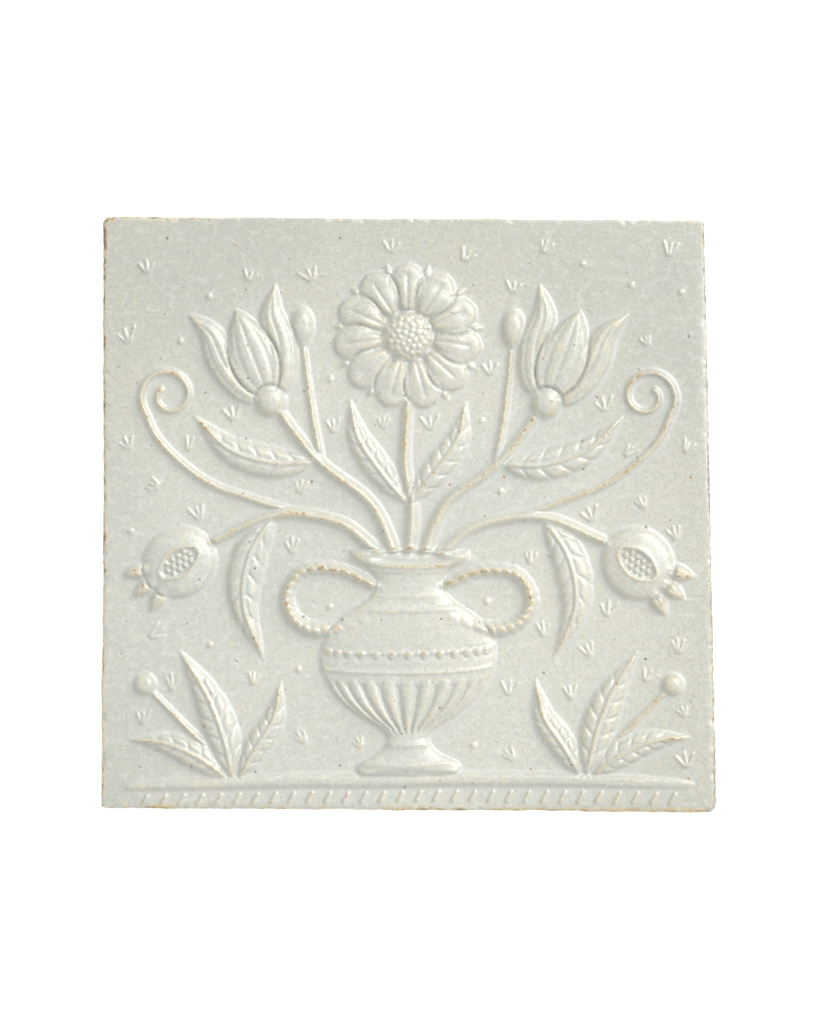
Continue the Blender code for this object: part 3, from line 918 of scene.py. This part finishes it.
def split_masks(places):
    """For each cell size, which blocks must be split so that no flat cell strays from the surface."""
    masks = {}
    size = COARSEST
    while size > 1:
        corners = places[::size, ::size]
        share = np.linspace(0.0, 1.0, size + 1)
        worst = np.zeros((CELLS // size, CELLS // size))
        for i, s in enumerate(share):
            for j, t in enumerate(share):
                flat = (
                    (1 - s) * (1 - t) * corners[:-1, :-1]
                    + (1 - s) * t * corners[:-1, 1:]
                    + s * (1 - t) * corners[1:, :-1]
                    + s * t * corners[1:, 1:]
                )
                true = places[i : CELLS + i - size + 1 : size, j : CELLS + j - size + 1 : size]
                worst = np.maximum(worst, np.linalg.norm(true - flat, axis=-1))
        masks[size] = worst > FLATNESS
        size //= 2
    return masks


def block_any(mask, factor):
    count = mask.shape[0] // factor
    return mask.reshape(count, factor, count, factor).any(axis=(1, 3))


def cell_sizes(places):
    """The size of the cell that covers each smallest cell, at most one step apart between neighbours."""
    masks = split_masks(places)
    masks[4] |= block_any(masks[2], 2)
    masks[8] |= block_any(masks[4], 2)
    while True:
        sizes = np.full((CELLS, CELLS), COARSEST)
        for size in (8, 4, 2):
            wide = np.kron(masks[size], np.ones((size, size), dtype=bool))
            sizes[wide & (sizes == size)] = size // 2
        padded = np.pad(sizes, 1, mode="edge")
        neighbours = (padded[:-2, 1:-1], padded[2:, 1:-1], padded[1:-1, :-2], padded[1:-1, 2:])
        smallest = np.minimum.reduce(neighbours)
        changed = False
        for size in (8, 4):
            crowded = block_any((sizes == size) & (smallest < size // 2), size)
            if (crowded & ~masks[size]).any():
                masks[size] |= crowded
                changed = True
        if not changed:
            return sizes


# Steps round a cell's corners, and round the middles of its sides in half cells.
CORNER_STEPS = ((0, 0), (0, 1), (1, 1), (1, 0))
MIDDLE_STEPS = ((0, 1), (1, 2), (2, 1), (1, 0))


def face_polygons(sizes):
    """Quads and triangles over the lattice, as rows of lattice indices."""
    stride = CELLS + 1
    used = np.zeros((stride, stride), dtype=bool)
    leaves = {}
    for size in (8, 4, 2, 1):
        rows, columns = np.nonzero(sizes[::size, ::size] == size)
        rows, columns = rows * size, columns * size
        leaves[size] = (rows, columns)
        for row_step, column_step in CORNER_STEPS:
            used[rows + row_step * size, columns + column_step * size] = True
    quads = []
    triangles = []
    for size, (rows, columns) in leaves.items():
        half = size // 2
        corners = [(rows + r * size, columns + c * size) for r, c in CORNER_STEPS]
        middles = [(rows + r * half, columns + c * half) for r, c in MIDDLE_STEPS]
        split = [used[middle] if size > 1 else np.zeros(len(rows), dtype=bool) for middle in middles]
        whole = ~np.logical_or.reduce(split)
        ids = [r * stride + c for r, c in corners]
        quads.append(np.stack(ids, axis=1)[whole])
        centre = (rows + half) * stride + columns + half
        for side in range(4):
            start, end = ids[side], ids[(side + 1) % 4]
            middle = middles[side][0] * stride + middles[side][1]
            cut = split[side] & ~whole
            plain = ~split[side] & ~whole
            triangles.append(np.stack((centre, start, middle), axis=1)[cut])
            triangles.append(np.stack((centre, middle, end), axis=1)[cut])
            triangles.append(np.stack((centre, start, end), axis=1)[plain])
    return np.concatenate(quads), np.concatenate(triangles), used


def centre_mask(triangles, used):
    """Marks the middles of the cells that are cut into triangles."""
    mask = np.zeros(used.size, dtype=bool)
    mask[triangles.ravel()] = True
    return mask


def rim_indices(used):
    """The lattice indices round the face's edge, anticlockwise seen from above."""
    stride = CELLS + 1
    forward = np.arange(CELLS)
    backward = forward[::-1] + 1
    rows = np.concatenate((0 * forward, forward, 0 * forward + CELLS, backward))
    columns = np.concatenate((forward, 0 * forward + CELLS, backward, 0 * forward))
    kept = used[rows, columns]
    return rows[kept] * stride + columns[kept]


def without_notches(loop):
    """A closed outline with its fine notches smoothed away."""
    steps = np.hypot(*(np.roll(loop, -1, axis=0) - loop).T)
    places = np.concatenate(([0.0], np.cumsum(steps)))
    even = np.linspace(0.0, places[-1], LOOP_POINTS + 1)
    frequencies = np.fft.rfftfreq(LOOP_POINTS, even[1])
    damping = np.exp(-2 * (math.pi * NOTCH_SIZE * frequencies) ** 2)
    smooth = []
    for values in loop.T:
        evenly = np.interp(even[:-1], places, np.append(values, values[0]))
        evenly = np.fft.irfft(np.fft.rfft(evenly) * damping, LOOP_POINTS)
        smooth.append(np.interp(places[:-1], even, np.append(evenly, evenly[0])))
    return np.column_stack(smooth)


def side_rings(rim):
    """Rings of points down the sides, from the face's rim to the back. The sides are slightly uneven."""
    core = without_notches(rim[:, :2])
    ahead = np.roll(core, -1, axis=0) - np.roll(core, 1, axis=0)
    inward = np.stack((-ahead[:, 1], ahead[:, 0]), axis=1)
    inward /= np.linalg.norm(inward, axis=1)[:, None]
    around = np.cumsum(np.hypot(*(core - np.roll(core, 1, axis=0)).T))
    period = around[-1] / 3
    around = np.abs(around % period - period / 2)
    rings = []
    for share in SIDE_SHARES:
        height = rim[:, 2] * share
        wave = np.clip(SIDE_INSET + waver(around, height * 3, SIDE_WAVER), 0.0, None)
        notched = smooth_step((share - NOTCH_END) / (1 - NOTCH_END))
        outline = notched * rim[:, :2] + (1 - notched) * core
        place = outline + inward * (wave * 4 * share * (1 - share))[:, None]
        rings.append(np.column_stack((place, height)))
    for height, inset in FOOT_RINGS:
        rings.append(np.column_stack((core + inward * inset, np.full(len(rim), height))))
    return rings


def tile_surface():
    """Places over the face, with how far each stands out from what is round it and how worn its edge is."""
    left, bottom, distance = face_lattice()
    left, bottom = cut_edges(left, bottom)
    x, y = to_slab(left, bottom)
    right = FACE_WIDTH - left
    radius = ARRIS + (RIGHT_ARRIS - ARRIS) * smooth_step(1 - right / RIGHT_ARRIS_REACH)
    radius *= 1 + waver(x, y, ARRIS_WAVER)
    roll = radius - np.sqrt(np.clip(radius**2 - np.clip(radius - distance, 0.0, None) ** 2, 0.0, None))
    slump = RIGHT_SLUMP * smooth_step(bottom / FACE_HEIGHT) * line_mark(right, RIGHT_SLUMP_REACH)
    height = blurred(relief_height(x, y), SOFTENING * CELLS / FACE_WIDTH)
    height *= smooth_step(distance / EDGE_FALL)
    z = THICKNESS + height - roll - slump - chip_arris(x, y, distance)
    crest = CREST_GAIN * (height - blurred(height, CREST_SIZE * CELLS / FACE_WIDTH))
    edge = edge_wear_and_shade(x, y, left, bottom, distance)
    return np.stack((x, y, z), axis=-1), {"crest": crest, "edge": edge}


def tile_mesh():
    """The closed mesh of the tile, which carries its surface's marks for the glaze."""
    places, marks = tile_surface()
    quads, triangles, used = face_polygons(cell_sizes(places))
    kept = np.nonzero(used.ravel() | centre_mask(triangles, used))[0]
    renumber = np.full(used.size, -1)
    renumber[kept] = np.arange(len(kept))
    points = [places.reshape(-1, 3)[kept]]
    faces = renumber[quads].tolist() + renumber[triangles].tolist()
    upper = renumber[rim_indices(used)]
    first = len(kept)
    for ring in side_rings(points[0][upper]):
        lower = first + np.arange(len(ring))
        faces += np.stack((upper, lower, np.roll(lower, -1), np.roll(upper, -1)), axis=1).tolist()
        points.append(ring)
        first += len(ring)
        upper = lower
    faces.append(upper[::-1].tolist())
    full = bpy.data.meshes.new("full_tile")
    full.from_pydata(np.concatenate(points) * MM, [], faces)
    for name, values in marks.items():
        on_points = np.zeros(first, dtype=np.float32)
        on_points[: len(kept)] = values.ravel()[kept]
        full.attributes.new(name, "FLOAT", "POINT").data.foreach_set("value", on_points)
    mesh = thinned(full)
    mesh.shade_smooth()
    mesh.set_sharp_from_angle(angle=SHARP_ANGLE)
    mesh.update()
    return mesh


def thinned(full):
    """The mesh with the edges that tell least about its shape collapsed."""
    carrier = bpy.data.objects.new("thinning", full)
    bpy.context.scene.collection.objects.link(carrier)
    collapse = carrier.modifiers.new("collapse", "DECIMATE")
    collapse.ratio = MOST_TRIANGLES / sum(len(face.vertices) - 2 for face in full.polygons)
    seen = bpy.context.evaluated_depsgraph_get()
    mesh = bpy.data.meshes.new_from_object(carrier.evaluated_get(seen))
    mesh.name = "tile_face"
    bpy.data.objects.remove(carrier)
    return mesh


class Nodes:
    """Short calls for building a material's node tree."""

    def __init__(self, material):
        material.use_nodes = True
        self.tree = material.node_tree
        self.shader = self.tree.nodes["Principled BSDF"]
        self.place = self.tree.nodes.new("ShaderNodeTexCoord").outputs["Object"]

    def plug(self, value, socket):
        if isinstance(value, bpy.types.NodeSocket):
            self.tree.links.new(value, socket)
        else:
            socket.default_value = value

    def math(self, operation, *values):
        node = self.tree.nodes.new("ShaderNodeMath")
        node.operation = operation
        for value, socket in zip(values, node.inputs):
            self.plug(value, socket)
        return node.outputs[0]

    def times(self, first, second):
        return self.math("MULTIPLY", first, second)

    def swayed(self, base, noise, gain):
        """base, moved up and down by a noise."""
        return self.math("MULTIPLY_ADD", self.math("SUBTRACT", noise, 0.5), gain, base)

    def noise(self, size, detail=2.0, roughness=0.5):
        """Noise with features of the given size in metres."""
        node = self.tree.nodes.new("ShaderNodeTexNoise")
        self.plug(self.place, node.inputs["Vector"])
        node.inputs["Scale"].default_value = 1 / size
        node.inputs["Detail"].default_value = detail
        node.inputs["Roughness"].default_value = roughness
        return node.outputs["Fac"]

    def cells(self, size):
        """Distance in cells to the nearest of scattered points, and that point's random colour."""
        node = self.tree.nodes.new("ShaderNodeTexVoronoi")
        node.voronoi_dimensions = "2D"
        self.plug(self.place, node.inputs["Vector"])
        node.inputs["Scale"].default_value = 1 / size
        return node.outputs["Distance"], node.outputs["Color"]

    def ramp(self, value, low, high, start=0.0, end=1.0):
        """From start to end, smoothly, as value goes from low to high."""
        node = self.tree.nodes.new("ShaderNodeMapRange")
        node.interpolation_type = "SMOOTHSTEP"
        names = ("Value", "From Min", "From Max", "To Min", "To Max")
        for name, number in zip(names, (value, low, high, start, end)):
            self.plug(number, node.inputs[name])
        return node.outputs["Result"]

    def mix(self, share, first, second, blend="MIX"):
        node = self.tree.nodes.new("ShaderNodeMix")
        node.data_type = "RGBA"
        node.blend_type = blend
        for index, value in ((0, share), (6, first), (7, second)):
            self.plug(value, node.inputs[index])
        return node.outputs[2]

    def tinge(self, colour, value, low, high, most, other):
        """The colour, with up to the share most of another as value goes from low to high."""
        return self.mix(self.ramp(value, low, high, 0.0, most), colour, other)

    def attribute(self, name):
        node = self.tree.nodes.new("ShaderNodeAttribute")
        node.attribute_name = name
        return node.outputs["Fac"]

    def distance(self, target):
        node = self.tree.nodes.new("ShaderNodeVectorMath")
        node.operation = "DISTANCE"
        self.plug(self.place, node.inputs[0])
        self.plug(target, node.inputs[1])
        return node.outputs["Value"]

    def parts(self, value):
        node = self.tree.nodes.new("ShaderNodeSeparateXYZ")
        self.plug(value, node.inputs[0])
        return node.outputs

    def bump(self, height, distance, strength=1.0, normal=None):
        node = self.tree.nodes.new("ShaderNodeBump")
        node.inputs["Strength"].default_value = strength
        node.inputs["Distance"].default_value = distance
        self.plug(height, node.inputs["Height"])
        if normal:
            self.plug(normal, node.inputs["Normal"])
        return node.outputs["Normal"]


class Glaze(Nodes):
    """A satin glaze that is thin and tan on crests, milky in hollows, over buff clay."""

    def __init__(self, material):
        super().__init__(material)
        self.x, self.y, self.z = self.parts(self.place)
        self.crest = self.attribute("crest")
        self.edge = self.attribute("edge")
        self.grains = {name: self.noise(*grain) for name, grain in GRAINS.items()}

    def field(self):
        """The mottled pale colour, darker towards the corners, away from a place a little below the middle.
        """
        colour = self.mix(self.ramp(self.grains["broad"], 0.35, 0.68), COOL, WARM)
        for name, low, high, most, other in FIELD_LAYERS:
            colour = self.tinge(colour, self.grains[name], low, high, most, other)
        away = self.distance(DIMMING_MIDDLE)
        colour = self.mix(self.ramp(away, 0.045, 0.100), colour, FAR_DIMMING, "MULTIPLY")
        return self.tinge(colour, self.crest, -0.05, -0.40, 0.55, POOLED)

    def thinness(self):
        """How thin the glaze is: raggedly more on crests and on the upper edge."""
        thin = self.crest
        for name, gain in (("mottle", 1.0), ("cloud", 0.9), ("speck", 1.8)):
            thin = self.swayed(thin, self.grains[name], gain)
        return self.math("MULTIPLY_ADD", self.edge, self.swayed(1.05, self.grains["dash"], 5.0), thin)

    def wear_and_edge_shade(self, colour, thin):
        """Where the glaze is thin it breaks to ochre, tan, rust dots, khaki and nearly black. Blue-grey
        dashes along the upper edge are painted shade of the side wall.
        """
        # Blue-grey dashes along the upper edge: painted shade of the side wall.
        dashes = self.ramp(self.grains["dash"], 0.52, 0.44, 0.0, 0.60)
        colour = self.mix(self.times(self.ramp(self.edge, 0.3, 0.8), dashes), colour, EDGE_SHADE_GREY)
        colour = self.tinge(colour, thin, 0.32, 0.72, 0.62, OCHRE)
        colour = self.tinge(colour, thin, *BARE_GLAZE, TAN)
        dots = self.ramp(self.grains["tint"], 0.55, 0.62, 0.0, 0.85)
        colour = self.mix(self.times(self.ramp(thin, 0.70, 0.95), dots), colour, RUST)
        colour = self.tinge(colour, thin, 1.10, 1.50, 0.75, KHAKI)
        return self.tinge(colour, thin, 1.75, 2.10, 0.80, BURNT)

    def edge_marks(self, colour):
        """A grey band and dark dots along the right side's edge, fewer lower down, and amber flecks along
        the bottom's.
        """
        right = self.times(self.ramp(self.edge, 0.40, 0.75), self.ramp(self.x, 0.0715, 0.0730))
        right = self.times(right, self.ramp(self.y, -0.060, 0.020, 0.40, 1.00))
        colour = self.mix(self.times(right, 0.70), colour, OLIVE_GREY)
        dots = self.times(right, self.ramp(self.grains["tint"], 0.46, 0.55, 0.20, 0.90))
        colour = self.mix(dots, colour, DARK_DOT)
        bottom = self.ramp(self.math("MULTIPLY_ADD", self.x, BOTTOM_TILT, self.y), -0.0724, -0.0738)
        flecks = self.times(bottom, self.ramp(self.grains["speck"], 0.46, 0.56))
        flecks = self.times(flecks, self.ramp(self.grains["cloud"], 0.42, 0.56, 0.0, 0.80))
        return self.mix(flecks, colour, AMBER)

    def pinholes(self, colour):
        """The colour with pinholes and pricks on the face, and how deep they are."""
        on_face = self.ramp(self.z, *FACE_LEVELS)
        far, far_tint = self.cells(PINHOLE_PITCH)
        size, depth, stain = self.parts(far_tint)
        inner = self.math("MULTIPLY_ADD", size, 0.018, 0.004)
        outer = self.math("MULTIPLY_ADD", size, 0.022, 0.015)
        hole = self.times(self.ramp(far, inner, outer, 1.0, 0.0), on_face)
        near, near_tint = self.cells(PRICK_PITCH)
        prick = self.ramp(near, 0.012, 0.040, 1.0, 0.0)
        prick = self.times(prick, self.ramp(self.parts(near_tint)[0], 0.30, 0.85))
        prick = self.times(prick, on_face)
        colour = self.mix(self.times(prick, 0.70), colour, TAN)
        hole_colour = self.mix(self.ramp(stain, 0.66, 0.70), PINHOLE, RUST)
        colour = self.mix(self.times(hole, self.ramp(depth, 0.1, 0.9, 0.35, 0.95)), colour, hole_colour)
        return colour, self.math("MAXIMUM", hole, prick)

    def clay(self):
        """The share of bare clay, which shows below a wavy line on the sides, and its colour."""
        line = self.swayed(self.z, self.noise(0.007, 2.0), 0.007)
        colour = self.mix(self.ramp(self.noise(0.0022, 4.0, 0.65), 0.35, 0.7), CLAY, CLAY_LIGHT)
        return self.ramp(line, *GLAZE_LEVELS), colour

    def skin(self, pits):
        """The surface's fine unevenness."""
        normal = self.bump(self.grains["ripple"], 0.00035, 0.22)
        normal = self.bump(self.grains["mottle"], 0.00016, 0.45, normal)
        normal = self.bump(self.grains["speck"], 0.00005, 0.5, normal)
        return self.bump(self.math("SUBTRACT", 1.0, pits), 0.0002, 0.6, normal)


def tile_material():
    material = bpy.data.materials.new("satin_glaze")
    glaze = Glaze(material)
    thin = glaze.thinness()
    colour = glaze.edge_marks(glaze.wear_and_edge_shade(glaze.field(), thin))
    colour, pits = glaze.pinholes(colour)
    clay_share, clay_colour = glaze.clay()
    sockets = glaze.shader.inputs
    glaze.plug(glaze.mix(clay_share, colour, clay_colour), sockets["Base Color"])
    dull = glaze.ramp(glaze.grains["mottle"], 0.3, 0.7, 0.30, 0.40)
    start, full, share = BARE_GLAZE
    dull = glaze.math("MULTIPLY_ADD", glaze.ramp(thin, start, full, 0.0, share), 0.2, dull)
    glaze.plug(glaze.math("MAXIMUM", dull, glaze.times(clay_share, 0.85)), sockets["Roughness"])
    glaze.plug(glaze.skin(pits), sockets["Normal"])
    sockets["Specular IOR Level"].default_value = 1.0
    sockets["IOR"].default_value = GLAZE_IOR
    return material


def floor_material():
    """A white table that is lit from below, as for a photograph with no shadows."""
    material = bpy.data.materials.new("white_floor")
    nodes = Nodes(material)
    sockets = nodes.shader.inputs
    nodes.plug(nodes.ramp(nodes.noise(0.4, 2.0), 0.3, 0.7, 0.93, 0.95), sockets["Base Color"])
    sockets["Roughness"].default_value = 0.9
    sockets["Specular IOR Level"].default_value = 0.1
    sockets["Emission Color"].default_value = WHITE
    sockets["Emission Strength"].default_value = FLOOR_GLOW
    return material


def make_floor():
    mesh = bpy.data.meshes.new("floor")
    half = FLOOR_HALF_SIZE
    corners = [(-half, -half, 0.0), (half, -half, 0.0), (half, half, 0.0), (-half, half, 0.0)]
    mesh.from_pydata(corners, [], [(0, 1, 2, 3)])
    mesh.materials.append(floor_material())
    floor = bpy.data.objects.new("floor", mesh)
    floor.location.z = -FLOOR_DROP
    bpy.context.scene.collection.objects.link(floor)


def make_lights():
    for name, (place, width, watts) in LIGHTS.items():
        light = bpy.data.lights.new(name, "AREA")
        light.size = width
        light.energy = watts
        obj = bpy.data.objects.new(name, light)
        obj.location = place
        towards_face = Vector((0.0, 0.0, THICKNESS * MM)) - Vector(place)
        obj.rotation_euler = towards_face.to_track_quat("-Z", "Y").to_euler()
        bpy.context.scene.collection.objects.link(obj)
    world = bpy.data.worlds.new("studio")
    world.use_nodes = True
    background = world.node_tree.nodes["Background"].inputs
    background["Strength"].default_value = FILL
    background["Color"].default_value = WHITE
    bpy.context.scene.world = world
    bpy.context.scene.view_settings.view_transform = "Standard"


def make_camera():
    """Straight above the tile, with a long lens, framed as the photograph is."""
    camera = bpy.data.cameras.new("camera")
    camera.lens = LENS
    camera.sensor_fit = "VERTICAL"
    camera.sensor_height = SENSOR
    camera.clip_end = CAMERA_FARTHEST
    obj = bpy.data.objects.new("camera", camera)
    bpy.context.scene.collection.objects.link(obj)
    above = PICTURE_HEIGHT * PIXEL * LENS / SENSOR
    obj.location = (CAMERA_AIM[0] * MM, CAMERA_AIM[1] * MM, (THICKNESS + above) * MM)
    bpy.context.scene.camera = obj


def main():
    mesh = tile_mesh()
    mesh.materials.append(tile_material())
    tile = bpy.data.objects.new("glazed_tile", mesh)
    bpy.context.scene.collection.objects.link(tile)
    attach(tile, "root")
    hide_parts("tile")
    make_floor()
    make_lights()
    make_camera()


main()
